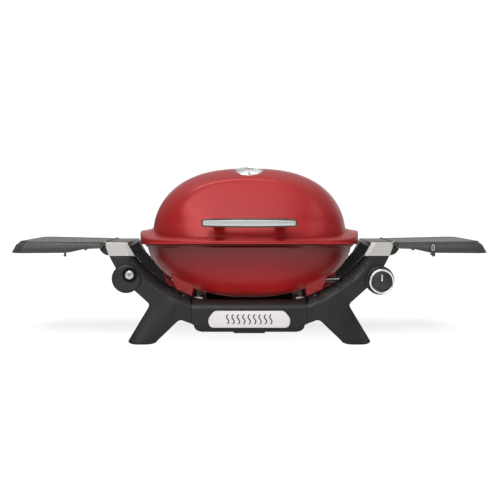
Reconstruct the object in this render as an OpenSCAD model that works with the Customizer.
// Portable tabletop gas grill, millimetres.
// Origin under the middle of the grill on the surface it stands on, -Y is the front, +X is the right.

/* [Lid] */
// Height of the plane where lid and cookbox meet
seam_z = 226; // [220:1:232]
// Half width of the lid rim
rim_rx = 250.5; // [249:0.5:253]
// Half depth of the lid rim
rim_ry = 185; // [184:0.5:186]
// Height of the dome above the seam
dome_h = 166.8; // [160:0.2:170]
// Wall of the cast lid
lid_wall = 4; // [3:0.5:5]
// Distance the cast rim sags towards the sides
rim_sag = 6; // [4:0.5:7]

/* [Cookbox] */
// Half width of the bowl at the seam
bowl_rx = 237; // [235:1:239]
// Half depth of the bowl at the seam
bowl_ry = 178; // [175:1:179]
// Depth of the bowl below the seam
bowl_h = 132; // [126:1:133]
// Wall of the cast bowl
bowl_wall = 4; // [3:0.5:5]

/* [Legs] */
// Front face of the arms, measured forward of the middle
arm_face = 113; // [112:1:115]
// Thickness of each arm
arm_t = 20; // [18:1:22]
// How far the foot reaches forward of the arm's face
foot_reach = 15; // [10:1:24]

/* [Tables] */
// Pivot of each table, out from the middle
fold_x = 322; // [321:0.5:324]
// Height of the pivot
fold_z = 226; // [225.8:0.1:226.2]
// Outer end of each table
table_end = 524; // [500:1:530]
// Half depth of a table at its outer end
table_ry = 145; // [135:1:150]

/* [Handle] */
// Length of the lid handle
handle_w = 202; // [180:1:210]
// Height of the handle bar in its middle
handle_h = 19.2; // [17:0.2:21]
// Height of the handle's centre line
handle_z = 271.7; // [268:0.1:274]

/* [Controls] */
// Centre of the gas knob, right of the middle
knob_x = 290; // [287:0.5:291]
// Height of the gas knob
knob_z = 142; // [140:0.5:144]
// Diameter of the gas knob
knob_d = 56; // [50:1:58]

/* [Tray] */
// Width of the grease tray
tray_w = 242; // [236:1:243]
// Depth of the grease tray, front to back
tray_l = 184; // [160:1:186]

/* [Thermometer] */
// Diameter of the bezel
gauge_d = 62; // [58:1:66]
// Forward lean of the gauge's face
gauge_tilt = 18; // [15:0.5:20]

/* [Hidden] */
$fn = 48;
slack = 0.05;                 // radial clearance of a turning fit
hinge_y = 202;                // lid pivot
hinge_z = 228;
hinge_x = 128;
arm_back = arm_face - arm_t;
arm_top = 196;
seam_x = 128.5;               // where an arm meets a beam
boss_r = 32;
boss_face = arm_face + 5;
igniter_at = [-264.7, 154.8];
gauge_at = [0, -68, 385];
red = "#a82a2e";
charcoal = "#3a3a3a";
silver = "#cfccca";
steel = "#b9b9b6";
brass = "#b8964f";

// ---------- helpers ----------
function oval(a, rx, ry, n) = let (c = abs(cos(a)), s = abs(sin(a)),
    r = pow(pow(c / rx, n) + pow(s / ry, n), -1 / n)) [r * cos(a), r * sin(a)];
function arc_points(cx, cy, r, from, to, steps) =
    [for (i = [0 : steps]) let (a = from + (to - from) * i / steps) [cx + r * cos(a), cy + r * sin(a)]];

// Extrudes an X-Z outline between two depths, y0 in front of y1.
module front_slab(y0, y1) {
    translate([0, y1, 0]) rotate([90, 0, 0]) linear_extrude(height = y1 - y0) children();
}
// Extrudes a Y-Z outline between two widths.
module side_slab(x0, x1) {
    translate([x0, 0, 0]) rotate([90, 0, 90]) linear_extrude(height = x1 - x0) children();
}
module rod_y(x, z, r, y0, y1) {
    translate([x, y0, z]) rotate([-90, 0, 0]) cylinder(r = r, h = y1 - y0);
}
module rod_x(y, z, r, x0, x1) {
    translate([x0, y, z]) rotate([0, 90, 0]) cylinder(r = r, h = x1 - x0);
}
module both_sides() {
    children();
    mirror([1, 0, 0]) children();
}
module turned_to_gauge() {
    translate(gauge_at) rotate([gauge_tilt, 0, 0]) children();
}

// One closed skin from stacked rings of equal length; the first ring joins the last.
module ring_loop(rings) {
    n = len(rings[0]);
    m = len(rings);
    points = [for (r = rings) for (p = r) p];
    faces = [for (i = [0 : m - 1]) for (j = [0 : n - 1])
        let (a = i * n + j, b = i * n + (j + 1) % n, c = ((i + 1) % m) * n + (j + 1) % n,
            d = ((i + 1) % m) * n + j) each [[a, b, c], [a, c, d]]];
    polyhedron(points, faces, convexity = 6);
}
// A bowl-like skin: outer rings from the edge to the pole, then inner rings from the pole to the edge.
module shell_of(outer, outer_pole, inner, inner_pole, up) {
    n = len(outer[0]);
    mo = len(outer);
    mi = len(inner);
    points = concat([for (r = outer) for (p = r) p], [for (r = inner) for (p = r) p],
        [outer_pole, inner_pole]);
    po = n * (mo + mi);
    start = n * mo;
    walls = concat(
        [for (i = [0 : mo - 2]) for (j = [0 : n - 1]) let (a = i * n + j, b = i * n + (j + 1) % n)
            each [[a, b + n, b], [a, a + n, b + n]]],
        [for (j = [0 : n - 1]) [(mo - 1) * n + j, po, (mo - 1) * n + (j + 1) % n]],
        [for (i = [0 : mi - 2]) for (j = [0 : n - 1])
            let (a = start + i * n + j, b = start + i * n + (j + 1) % n)
            each [[a, b, b + n], [a, b + n, a + n]]],
        [for (j = [0 : n - 1])
            [start + (mi - 1) * n + j, start + (mi - 1) * n + (j + 1) % n, po + 1]],
        [for (j = [0 : n - 1])
            let (a = j, b = (j + 1) % n) each [[a, b, b + start], [a, b + start, a + start]]]);
    faces = up ? walls : [for (f = walls) [f[0], f[2], f[1]]];
    polyhedron(points, faces, convexity = 8);
}
// A round tube along a path, 8 to 12 sided.
function unit(v) = v / norm(v);
function tangent(path, i) = unit(path[min(i + 1, len(path) - 1)] - path[max(i - 1, 0)]);
function side_of(t) = unit(cross(t, abs(t[2]) < 0.9 ? [0, 0, 1] : [1, 0, 0]));
module tube_along(path, r, sides) {
    m = len(path);
    points = [for (i = [0 : m - 1]) let (t = tangent(path, i), u = side_of(t), v = cross(t, u))
        for (k = [0 : sides - 1]) path[i] + r * (cos(k * 360 / sides) * u + sin(k * 360 / sides) * v)];
    faces = concat([[for (k = [0 : sides - 1]) k]],
        [for (i = [0 : m - 2]) for (k = [0 : sides - 1])
            let (a = i * sides + k, b = i * sides + (k + 1) % sides) [a, a + sides, b + sides, b]],
        [[for (k = [sides - 1 : -1 : 0]) (m - 1) * sides + k]]);
    polyhedron(points, faces, convexity = 6);
}

// ---------- lid ----------
dome_n = 2.6;
turns = 60;
dome_rings = 13;
face_n = 3.5;                 // roundness, half width and half depth of the leaning front and back
face_rx = 250;
face_ry = 162;
edge_k = 24;                  // sharpness of the edge between crown and faces
face_lean = 0.40;
face_foot = 14;
function rim_drop(a) = -rim_sag * pow(abs(oval(a, rim_rx, rim_ry, 3)[0]) / rim_rx, 4);
function crown(x, y, h) = pow(x / 224, dome_n) + pow(y / 168, 2.8) + pow(h / dome_h, 2.2);
function face_form(x, y, h) = pow(x / face_rx, face_n)
    + pow((y + face_lean * max(0, h - face_foot)) / face_ry, face_n);
function dome_form(x, y, h) = pow(pow(crown(x, y, h), edge_k) + pow(face_form(x, y, h), edge_k), 1 / edge_k);
function dome_r(a, e, lo, hi, k) = k == 0 ? (lo + hi) / 2 : let (r = (lo + hi) / 2)
    dome_form(abs(r * cos(e) * cos(a)), abs(r * cos(e) * sin(a)), r * sin(e)) < 1
        ? dome_r(a, e, r, hi, k - 1) : dome_r(a, e, lo, r, k - 1);
function dome_point(a, e, inset) = let (r = dome_r(a, e, 60, 300, 16) - inset)
    [r * cos(e) * cos(a), r * cos(e) * sin(a), seam_z + r * sin(e)];
function dome_foot(a) = atan((face_foot + 18 * ear(a)) / norm(oval(a, 225, face_ry, dome_n)));
function ear(a) = pow(abs(oval(a, rim_rx, rim_ry, 3)[0]) / rim_rx, 20);
function rim_point(a, inset, z) = let (p = oval(a, rim_rx - inset, rim_ry - inset, 3)) [p[0], p[1], z];
angles = [for (i = [0 : turns - 1]) i * 360 / turns];

module lid_cast() {
    outer = concat(
        [[for (a = angles) rim_point(a, 0, seam_z + rim_drop(a))]],
        [[for (a = angles) rim_point(a, 0.6, seam_z + 7.7 + 16 * ear(a))]],
        [for (k = [0 : dome_rings]) [for (a = angles)
            let (f = dome_foot(a)) dome_point(a, f + (90 - f) * k / (dome_rings + 1), 0)]]);
    inner = concat(
        [[for (a = angles) rim_point(a, 9, seam_z + rim_drop(a))]],
        [[for (a = angles) rim_point(a, 9.6, seam_z + 4 + 14 * ear(a))]],
        [for (k = [0 : dome_rings]) [for (a = angles)
            let (f = dome_foot(a)) dome_point(a, f + (90 - f) * k / (dome_rings + 1), lid_wall + 0.8)]]);
    shell_of(outer, dome_point(0, 90, 0), inner, dome_point(0, 90, lid_wall + 0.8), true);
}
post_x = 67;
post_face = 153;              // where the handle posts meet the lid
module lid_shell() color(red) difference() {
    union() {
        lid_cast();
        both_sides() translate([post_x - 13.5, -post_face, handle_z - 10]) cube([27, 12, 20]);
        both_sides() translate([134, 160, seam_z + 1.5]) cube([14, 22, 12]);
        turned_to_gauge() translate([0, 0, -9]) cylinder(r = gauge_d / 2 + 4, h = 4.9);
    }
    turned_to_gauge() translate([0, 0, -16]) cylinder(r = gauge_d / 2 + 2.4, h = 7);
    turned_to_gauge() translate([0, 0, -4]) cylinder(r = gauge_d / 2 + 0.2, h = 30);
    turned_to_gauge() translate([0, 0, -30]) cylinder(r = gauge_d / 2 - 2.8, h = 40);
    both_sides() {
        rod_y(post_x, handle_z, 2.5, -post_face - 1, -120);
        rod_y(post_x, handle_z, 5.5, -post_face + 12, -120);
    }
}
module hinge_lug(x0, x1, foot_y, foot_z0, foot_z1, bore) {
    difference() {
        union() {
            rod_x(hinge_y, hinge_z, 8, x0, x1);
            side_slab(x0, x1) polygon([[foot_y, foot_z0], [foot_y, foot_z1], [hinge_y, hinge_z + 7.5],
                [hinge_y, hinge_z - 7.5]]);
        }
        rod_x(hinge_y, hinge_z, bore, x0 - 1, x1 + 1);
    }
}
module lid_hinge_lugs() color(red) both_sides()
    hinge_lug(hinge_x + 6, hinge_x + 18, 182, seam_z + 2, seam_z + 13, 3 + slack);
module lid_hinge_pins() color(steel) both_sides() rod_x(hinge_y, hinge_z, 3, hinge_x - 9, hinge_x + 20);
module handle_grip() color("#2e2a28") difference() {
    front_slab(-210, -191) grip_outline(handle_w / 2, handle_h / 2, 7.8);
    front_slab(-211, -208) grip_outline(handle_w / 2 - 2, handle_h / 2 - 2.35, 5.25);
    both_sides() rod_y(post_x, handle_z, 2.5, -200, -190);
}
module grip_outline(half, mid, end) {
    translate([0, handle_z]) polygon([[-half, -end], [-half / 2, -mid + 0.4], [0, -mid],
        [half / 2, -mid + 0.4],
        [half, -end], [half, end], [half / 2, mid - 0.4], [0, mid], [-half / 2, mid - 0.4], [-half, end]]);
}
module handle_inlay() color(silver)
    front_slab(-210, -208) grip_outline(handle_w / 2 - 2, handle_h / 2 - 2.35, 5.25);
module handle_posts() color(red) both_sides() difference() {
    front_slab(-191, -post_face) translate([post_x - 12.5, handle_z - 7.5]) square([25, 15]);
    rod_y(post_x, handle_z, 2.5, -192, -post_face + 1);
}
module handle_screws() color(steel) both_sides() {
    rod_y(post_x, handle_z, 2.5, -200, -post_face + 12);
    rod_y(post_x, handle_z, 5, -post_face + 12, -post_face + 15);
}

// ---------- thermometer ----------
gauge_r = gauge_d / 2;
module thermometer_case() color("#d8d8d6") turned_to_gauge() difference() {
    union() {
        translate([0, 0, -4]) cylinder(r = gauge_r, h = 5);
        translate([0, 0, -9]) cylinder(r = gauge_r - 3, h = 6);
    }
    translate([0, 0, -7.5]) cylinder(r = gauge_r - 5, h = 10);
    translate([0, 0, -10]) cylinder(r = 1.5, h = 5);
}
module thermometer_dial() color("#f2f2ee") turned_to_gauge() difference() {
    translate([0, 0, -7.5]) cylinder(r = gauge_r - 5, h = 0.8);
    translate([0, 0, -8]) cylinder(r = 1.5, h = 2);
}
module thermometer_glass() color("#dfe8ea", 0.35) turned_to_gauge()
    translate([0, 0, -2]) cylinder(r = gauge_r - 5, h = 1.4);
module thermometer_probe() color(steel) turned_to_gauge() {
    translate([0, 0, -60]) cylinder(r = 3, h = 51);
    translate([0, 0, -9]) cylinder(r = 1.5, h = 5);
}
module thermometer_nut() color(steel) turned_to_gauge() difference() {
    translate([0, 0, -11.5]) cylinder(r = gauge_r + 2, h = 2.5);
    translate([0, 0, -12]) cylinder(r = 3, h = 4);
}
module thermometer_needle() color("#b02020") turned_to_gauge() difference() {
    union() {
        translate([0, 0, -6.2]) cylinder(r = 3, h = 1.4);
        translate([-0.7, 0, -6.2]) cube([1.4, gauge_r - 11, 0.9]);
    }
    translate([0, 0, -8]) cylinder(r = 1.5 + slack, h = 6);
}

// ---------- cookbox ----------
flange_gap = 0.6;
bowl_rings = 9;
function bowl_point(a, t, rx, ry, h) = let (p = oval(a, rx, ry, dome_n)) [p[0] * cos(t), p[1] * cos(t),
    seam_z - h * sin(t)];
function bowl_start(a) = asin((8 - rim_drop(a)) / bowl_h);
module bowl_cast() {
    lip = 6;
    outer = concat(
        [for (d = [0, lip]) [for (a = angles) rim_point(a, lip, seam_z - flange_gap + rim_drop(a) - d)]],
        [for (k = [0 : bowl_rings]) [for (a = angles)
            bowl_point(a, bowl_start(a) + (90 - bowl_start(a)) * k / (bowl_rings + 1), bowl_rx, bowl_ry, bowl_h)]]);
    inner = concat(
        [[for (a = angles) let (p = oval(a, bowl_rx - 5, bowl_ry - 5, dome_n))
            [p[0], p[1], seam_z - flange_gap + rim_drop(a)]]],
        [for (k = [0 : bowl_rings]) [for (a = angles)
            bowl_point(a, bowl_start(a) + (90 - bowl_start(a)) * k / (bowl_rings + 1),
                bowl_rx - bowl_wall - 1, bowl_ry - bowl_wall - 1, bowl_h - bowl_wall)]]);
    shell_of(outer, [0, 0, seam_z - bowl_h], inner, [0, 0, seam_z - bowl_h + bowl_wall], false);
}
grate_z = 204;
feed_y = -52;
feed_z = 139;
spark_y = -40;
lug_x = 147;                  // bolts that hold the cookbox to the arms
lug_z = 108;
module cookbox() color(red) difference() {
    union() {
        bowl_cast();
        for (s = [-1, 1]) both_sides() {
            translate([lug_x - 18, s > 0 ? arm_back - 12 : -arm_back, 96]) cube([36, 12, 52]);
            translate([92, s > 0 ? 140 : -164, grate_z - 8]) cube([16, 24, 8]);
        }
        both_sides() translate([203, -8, grate_z - 8]) cube([25, 16, 8]);
        for (s = [-1, 1]) translate([-8, s > 0 ? 150 : -173, grate_z - 8]) cube([16, 23, 8]);
        both_sides() translate([118, 150, seam_z - 21]) cube([16, 30, 13]);
        for (x = [-60, 60]) for (y = [-66, 66]) translate([x, y, 112]) cylinder(r = 7, h = 8);
    }
    translate([0, 0, 90]) cylinder(r = 18, h = 30);
    rod_x(feed_y, feed_z, 9, 130, 230);
    rod_x(spark_y, feed_z, 4, -230, -130);
    for (s = [-1, 1]) both_sides() rod_y(lug_x, lug_z, 3, s * arm_back - 14, s * arm_back + 14);
}
module cookbox_hinge_lugs() color(red) both_sides()
    hinge_lug(hinge_x - 8, hinge_x + 4, 180, seam_z - 21, seam_z - 8, 3);
module cookbox_bolts() color(steel) for (s = [0, 1]) mirror([0, s, 0]) both_sides() {
    rod_y(lug_x, lug_z, 3, -arm_back - 12, -arm_back + 12);
    translate([0, -arm_back + 12, 0]) front_slab(0, 4) translate([lug_x, lug_z]) circle(r = 6, $fn = 6);
}

// ---------- grates and burner ----------
grate_rx = 216;
grate_ry = 160;
module grate_half(s) {
    bar = 6;
    pitch = 14;
    edge = 8;
    difference() {
        intersection() {
            translate([0, 0, grate_z]) linear_extrude(height = 10)
                polygon([for (a = angles) oval(a, grate_rx, grate_ry, dome_n)]);
            translate([s > 0 ? 1 : -231, -200, grate_z - 1]) cube([230, 400, 12]);
        }
        intersection() {
            translate([0, 0, grate_z - 2]) linear_extrude(height = 14)
                polygon([for (a = angles) oval(a, grate_rx - edge, grate_ry - edge, dome_n)]);
            for (i = [0 : 14]) translate([s * (1 + bar + (pitch - bar) / 2 + i * pitch) - (pitch - bar) / 2,
                -200, grate_z - 2]) cube([pitch - bar, 196, 14]);
            }
        intersection() {
            translate([0, 0, grate_z - 2]) linear_extrude(height = 14)
                polygon([for (a = angles) oval(a, grate_rx - edge, grate_ry - edge, dome_n)]);
            for (i = [0 : 14]) translate([s * (1 + bar + (pitch - bar) / 2 + i * pitch) - (pitch - bar) / 2,
                4, grate_z - 2]) cube([pitch - bar, 196, 14]);
        }
    }
}
module left_grate() color("#4a4846") grate_half(-1);
module right_grate() color("#4a4846") grate_half(1);
loop_half = 78;
loop_r = 66;
tube_r = 8;
module burner_tube() color(steel) {
    path = concat(arc_points(loop_half, 0, loop_r, -90, 90, 14),
        arc_points(-loop_half, 0, loop_r, 90, 270, 14));
    m = len(path);
    rings = [for (i = [0 : m - 1])
        let (t = unit(path[(i + 1) % m] - path[(i + m - 1) % m]), out = [t[1], -t[0]])
        [for (k = [0 : 11]) let (c = tube_r * cos(k * 30 + 15), s = tube_r * sin(k * 30 + 15))
            [path[i][0] + c * out[0], path[i][1] + c * out[1], feed_z + s]]];
    ring_loop(rings);
    rod_x(feed_y, feed_z, 6, loop_half + 40, 248);
}
module burner_bracket() color(steel) for (x = [-60, 60]) for (y = [-66, 66])
    translate([x - 6, y - 5, 120]) cube([12, 10, feed_z - tube_r * cos(15) - 120]);

// ---------- gas train ----------
module gas_valve() color(brass) difference() {
    union() {
        rod_y(knob_x, knob_z, 15, -arm_back, -45);
        rod_x(feed_y, feed_z, 6.5, 248, knob_x);
    }
    rod_y(knob_x, knob_z, 7, -arm_back - 1, -57);
}
module gas_inlet() color(brass) {
    rod_y(knob_x, knob_z, 6.58, -45, -31);
    translate([0, -45, 0]) front_slab(0, 4) translate([knob_x, knob_z]) circle(r = 9.5, $fn = 6);
}
module valve_plunger() color(steel) difference() {
    rod_y(knob_x, knob_z, 7 - slack, -106, -66);
    rod_y(knob_x, knob_z, 4 + slack, -107, -65);
}
module valve_stem() color(steel) {
    rod_y(knob_x, knob_z, 4, -140, -62);
    rod_y(knob_x, knob_z, 5.6, -65.6, -62);
}
knob_back = 121.5;
module gas_knob() color("#2b2b2b") difference() {
    union() {
        rod_y(knob_x, knob_z, knob_d / 2, -145, -knob_back);
        rod_y(knob_x, knob_z, knob_d / 2 - 5.6, -146.2, -144);
    }
    rod_y(knob_x, knob_z, 4, -140, -knob_back + 1);
}
module knob_ring() color(silver) difference() {
    rod_y(knob_x, knob_z, knob_d / 2 - 0.3, -147, -145);
    rod_y(knob_x, knob_z, knob_d / 2 - 5.6, -148, -144);
}
module knob_pointer() color(silver) translate([knob_x - 1.6, -147, knob_z + 2]) cube([3.2, 0.8, 15]);
module igniter_collar() color("#262626") difference() {
    rod_y(igniter_at[0], igniter_at[1], 16.3, -121, -arm_back);
    rod_y(igniter_at[0], igniter_at[1], 10 + slack, -122, -arm_back + 1);
}
module igniter_button() color(silver) {
    rod_y(igniter_at[0], igniter_at[1], 10, -128, -100);
}
module igniter_module() color("#303030") {
    rod_y(igniter_at[0], igniter_at[1], 15, -arm_back, -70);
    rod_y(igniter_at[0], igniter_at[1], 8, -70, -58);
}
wire_path = [[-264.7, -58, 154.8], [-264.7, -54, 154.8], [-261, -47, 156], [-248, -44, 158],
    [-226, -42, 156], [-204, -41, 150],
    [-190, -40, 143], [-184, -40, 139.6], [-178, -40, 139]];
module igniter_wire() color("#1d1d1d") tube_along(wire_path, 1.3, 8);
module igniter_electrode() color("#ece8df") {
    rod_x(spark_y, feed_z, 4, -178, -156);
    rod_x(spark_y, feed_z, 1.2, -156, -146);
}

// ---------- arms and beams ----------
arm_upper = [[seam_x, 105], [161, 119.6], [194.5, 138.5], [219.6, 160], [234, 174.5], [254, arm_top]];
arm_ridge = [[269, arm_top], [254.7, 168.6], [234, 145], [204, 123], [170, 104], [136, 87], [seam_x, 85]];
arm_outer = [[311, arm_top], [297, 169], [256, 119], [226.5, 92.4], [224, 86.4], [225.5, 80.6], [269, 7],
    [258, 0], [219, 0], [205.5, 6], [161, 49], [152.7, 52.3], [142.5, 50], [seam_x, 44.4]];
arm_pocket = [[146, 62], [158, 60], [168, 54], [214, 9], [252, 9], [214, 78], [205, 96], [180, 108],
    [150, 96]];
bevel = 4;
module arm_plate() difference() {
    intersection() {
        front_slab(-arm_face - foot_reach - 1, -arm_back + 10) polygon(concat(arm_upper, arm_outer));
        side_slab(100, 340) polygon([[-arm_back, arm_top + 1], [-arm_face, arm_top + 1], [-arm_face, 104],
            [-arm_face - foot_reach, 5], [-arm_face - foot_reach + 3, 0], [-arm_back - 5, 0], [-arm_back, 60]]);
    }
    front_slab(-arm_face - 1, -arm_face + bevel) polygon(concat(arm_upper, arm_ridge));
    front_slab(-arm_face + 6, -arm_back + 11) polygon(arm_pocket);
    rod_y(lug_x, lug_z, 3, -arm_back - 12, -arm_back + 1);
}
module left_front_arm() color(charcoal) difference() {
    union() {
        mirror([1, 0, 0]) arm_plate();
        rod_y(-273.3, 145.6, boss_r, -boss_face, -arm_back);
    }
    rod_y(igniter_at[0], igniter_at[1], 16.3, -boss_face - 1, -arm_back + 1);
}
module right_front_arm() color(charcoal) difference() {
    union() {
        arm_plate();
        rod_y(knob_x, knob_z, boss_r, -boss_face, -arm_back);
    }
    rod_y(knob_x, knob_z, 9, -boss_face - 1, -arm_back + 1);
}
module left_rear_arm() color(charcoal) mirror([0, 1, 0]) mirror([1, 0, 0]) arm_plate();
module right_rear_arm() color(charcoal) mirror([0, 1, 0]) arm_plate();
beam_top = [[-seam_x, 105], [-117, 100], [-100, 98], [100, 98], [117, 100], [seam_x, 105]];
screw_x = 115;
screw_z = 86;
module beam(bottom) difference() {
    front_slab(-arm_face, -arm_back) polygon(concat(beam_top, bottom));
    front_slab(-arm_face - 1, -arm_face + bevel)
        polygon(concat(beam_top, [[seam_x, 85], [100, 83], [-100, 83], [-seam_x, 85]]));
    both_sides() rod_y(screw_x, screw_z, 2, -arm_back - 10, -arm_back + 1);
}
module front_beam() color(charcoal)
    beam([[seam_x, 44.4], [116, 39], [104, 34], [-104, 34], [-116, 39], [-seam_x, 44.4]]);
module rear_beam() color(charcoal) mirror([0, 1, 0]) beam([[seam_x, 62], [-seam_x, 62]]);
module badge_plate() color(silver) front_slab(-arm_face - 2.5, -arm_face)
    polygon([[-81, 36.5], [-88, 42], [-91, 52], [-88, 62], [-81, 69], [-73, 74], [73, 74], [81, 69], [88, 62],
        [91, 52], [88, 42], [81, 36.5]]);
module frame_screws() color(steel) for (s = [0, 1]) mirror([0, s, 0]) both_sides() {
    rod_y(screw_x, screw_z, 2, -arm_back - 10, -arm_back + 2);
    rod_y(screw_x, screw_z, 4, -arm_back + 2, -arm_back + 4.5);
}

// ---------- carry handles and table hinges ----------
knuckle_r = 3.6;
pin_r = 2;
frame_knuckle = [98, 112];
table_knuckle = [80, 97.5];
handle_top = 226.4;
module knuckle(span, toward, bore) difference() {
    union() {
        rod_y(fold_x, fold_z, knuckle_r, span[0], span[1]);
        translate([toward > 0 ? fold_x : fold_x - 6, span[0], fold_z - knuckle_r])
            cube([6, span[1] - span[0], knuckle_r]);
    }
    rod_y(fold_x, fold_z, bore, span[0] - 1, span[1] + 1);
}
module front_and_back() {
    children();
    mirror([0, 1, 0]) children();
}
module carry_handle() {
    front_and_back() difference() {
        union() {
            front_slab(-arm_face - 2, -arm_back) polygon([[254, arm_top], [311, arm_top], [319, 219],
                [319, handle_top], [270, handle_top], [268, 220]]);
            front_slab(-arm_back, 0) polygon([[272, 211], [314, 211], [319, 219], [319, handle_top],
                [270, handle_top], [268, 220]]);
        }
        rod_y(fold_x, fold_z, knuckle_r + 0.7, -table_knuckle[1] - 0.4, -table_knuckle[0] + 0.4);
        rod_y(fold_x, fold_z, pin_r, -arm_face, -frame_knuckle[0]);
    }
    front_and_back() knuckle(frame_knuckle, -1, pin_r);
}
// Brackets beside the carry handle that the inner wall of an open table leans on.
function handle_edge(z) = 311 + 8 * (z - arm_top) / 23;
module table_brackets() front_and_back() front_slab(-arm_face, -arm_back)
    polygon([[handle_edge(200), 200], [319, 219], [324, 219], [324, 212.4], [331, 212.4], [330, 206.5],
        [325, 201.5], [318, 199]]);
module left_table_brackets() color(charcoal) mirror([1, 0, 0]) table_brackets();
module right_table_brackets() color(charcoal) table_brackets();
module left_carry_handle() color(silver) mirror([1, 0, 0]) carry_handle();
module right_carry_handle() color(silver) carry_handle();
module table_pin() rod_y(fold_x, fold_z, pin_r, -frame_knuckle[1] - 0.5, frame_knuckle[1] + 0.5);
module left_table_pin() color(steel) mirror([1, 0, 0]) table_pin();
module right_table_pin() color(steel) table_pin();

// ---------- tables ----------
table_in = fold_x + 2.6;
table_in_ry = 118;
corner_r = 27;
module table_plan(inset) {
    x1 = table_end - inset;
    y1 = table_ry - inset;
    polygon(concat([[table_in + inset, -table_in_ry + inset]],
        arc_points(x1 - corner_r, -y1 + corner_r, corner_r, -84, 0, 6),
        arc_points(x1 - corner_r, y1 - corner_r, corner_r, 0, 84, 6),
        [[table_in + inset, table_in_ry - inset]]));
}
module table_section(skin, low) {
    end = table_end - skin;
    polygon([[table_in + skin, fold_z + 1.05 - skin], [end - 15, 229.9 - skin], [end - 11, 228.4 - skin],
        [end, low + 3], [end - 2, low], [400, low], [363, low + 9], [table_in + skin, low + 9]]);
}
module table_slab() {
    difference() {
        intersection() {
            translate([0, 0, 190]) linear_extrude(height = 50) table_plan(0);
            front_slab(-200, 200) table_section(0, 204);
        }
        intersection() {
            translate([0, 0, 180]) linear_extrude(height = 60) table_plan(4);
            front_slab(-200, 200) table_section(4, 180);
        }
        front_and_back() rod_y(fold_x, fold_z, knuckle_r + 0.7, frame_knuckle[0] - 0.3, frame_knuckle[1] + 0.8);
        rod_y(fold_x, fold_z, pin_r + 0.5, -130, 130);
    }
    front_and_back() knuckle(table_knuckle, 1, pin_r + slack);
}
module left_table() color("#6e6e6e") mirror([1, 0, 0]) table_slab();
module right_table() color("#8a8884") table_slab();
module hook_set() for (s = [-1, 1]) {
    translate([360.4, s * 121.5, 209.5]) cylinder(r = 2.4, h = 3.5);
    translate([405, s * 128.5, 196]) cylinder(r = 2.4, h = 8);
    rod_y(405, 198.4, 1.8, s > 0 ? 128.5 : -139.5, s > 0 ? 139.5 : -128.5);
}
module left_tool_hooks() color("#3c3a38") mirror([1, 0, 0]) hook_set();
module right_tool_hooks() color("#3c3a38") {
    hook_set();
    translate([398, -134, 199]) cube([10, 2.9, 28]);
    translate([403, -133, 199]) cube([4, 4.5, 4.6]);
}
module right_hook_loop() color(silver) front_slab(-136, -134) difference() {
    hull() for (z = [212.5, 219.5]) translate([403, z]) circle(r = 3.4);
    hull() for (z = [212.5, 219.5]) translate([403, z]) circle(r = 1.6);
}

// ---------- grease tray ----------
rail_z = 40;
tray_x = tray_w / 2;
tray_body = tray_x - 4.5;
tray_front = -arm_back + 1;
tray_low = 24;                // underside of the grease tray
module tray_rail() {
    translate([tray_x - 3.5, -arm_back, rail_z]) cube([9.5, 2 * arm_back, 2.5]);
    translate([tray_x + 4, -arm_back, rail_z]) cube([3, 2 * arm_back, 33]);
    front_and_back() difference() {
        translate([105, -arm_back, 65]) cube([tray_x - 98, 2, 38]);
        rod_y(screw_x, screw_z, 2, -arm_back - 1, -arm_back + 3);
    }
}
module left_tray_rail() color("#a9a9a6") mirror([1, 0, 0]) tray_rail();
module right_tray_rail() color("#a9a9a6") tray_rail();
module tray_outline(inset, top) {
    w = tray_body - inset;
    polygon([[-w, top], [-w, 39 + inset], [-w + 4, 29 + inset], [-w + 14, tray_low + inset],
        [w - 14, tray_low + inset], [w - 4, 29 + inset], [w, 39 + inset], [w, top]]);
}
module grease_tray() color("#6f6f6d") {
    difference() {
        front_slab(tray_front, tray_front + tray_l) tray_outline(0, 58);
        front_slab(tray_front + 2, tray_front + tray_l - 2) tray_outline(2, 70);
    }
    both_sides() translate([tray_body - 1, tray_front, rail_z + 2.9]) cube([tray_x - tray_body + 1, tray_l, 2]);
    translate([-35, tray_front, tray_low - 3]) cube([70, 12, 4]);
    front_slab(tray_front, tray_front + 2) polygon([[-tray_x - 3.5, 39], [-tray_x - 3, 36], [-tray_x + 2, 28.5],
        [-tray_x + 14, tray_low], [tray_x - 14, tray_low], [tray_x - 2, 28.5], [tray_x + 3, 36],
        [tray_x + 3.5, 39]]);
}
module drip_pan() color("#c9c9c7") difference() {
    translate([-94, -74, tray_low + 2]) cube([188, 148, 22]);
    translate([-92.8, -72.8, tray_low + 3.2]) cube([185.6, 145.6, 30]);
}

left_front_arm();
right_front_arm();
left_rear_arm();
right_rear_arm();
front_beam();
rear_beam();
badge_plate();
left_carry_handle();
right_carry_handle();
left_table_pin();
right_table_pin();
cookbox();
cookbox_hinge_lugs();
cookbox_bolts();
left_grate();
right_grate();
burner_tube();
burner_bracket();
gas_valve();
gas_inlet();
valve_plunger();
valve_stem();
gas_knob();
knob_ring();
knob_pointer();
igniter_module();
igniter_collar();
igniter_button();
igniter_wire();
igniter_electrode();
left_tray_rail();
right_tray_rail();
frame_screws();
grease_tray();
drip_pan();
lid_shell();
lid_hinge_lugs();
lid_hinge_pins();
handle_grip();
handle_inlay();
handle_posts();
handle_screws();
thermometer_case();
thermometer_dial();
thermometer_glass();
thermometer_probe();
thermometer_nut();
thermometer_needle();
left_table();
right_table();
left_tool_hooks();
right_tool_hooks();
right_hook_loop();
left_table_brackets();
right_table_brackets();
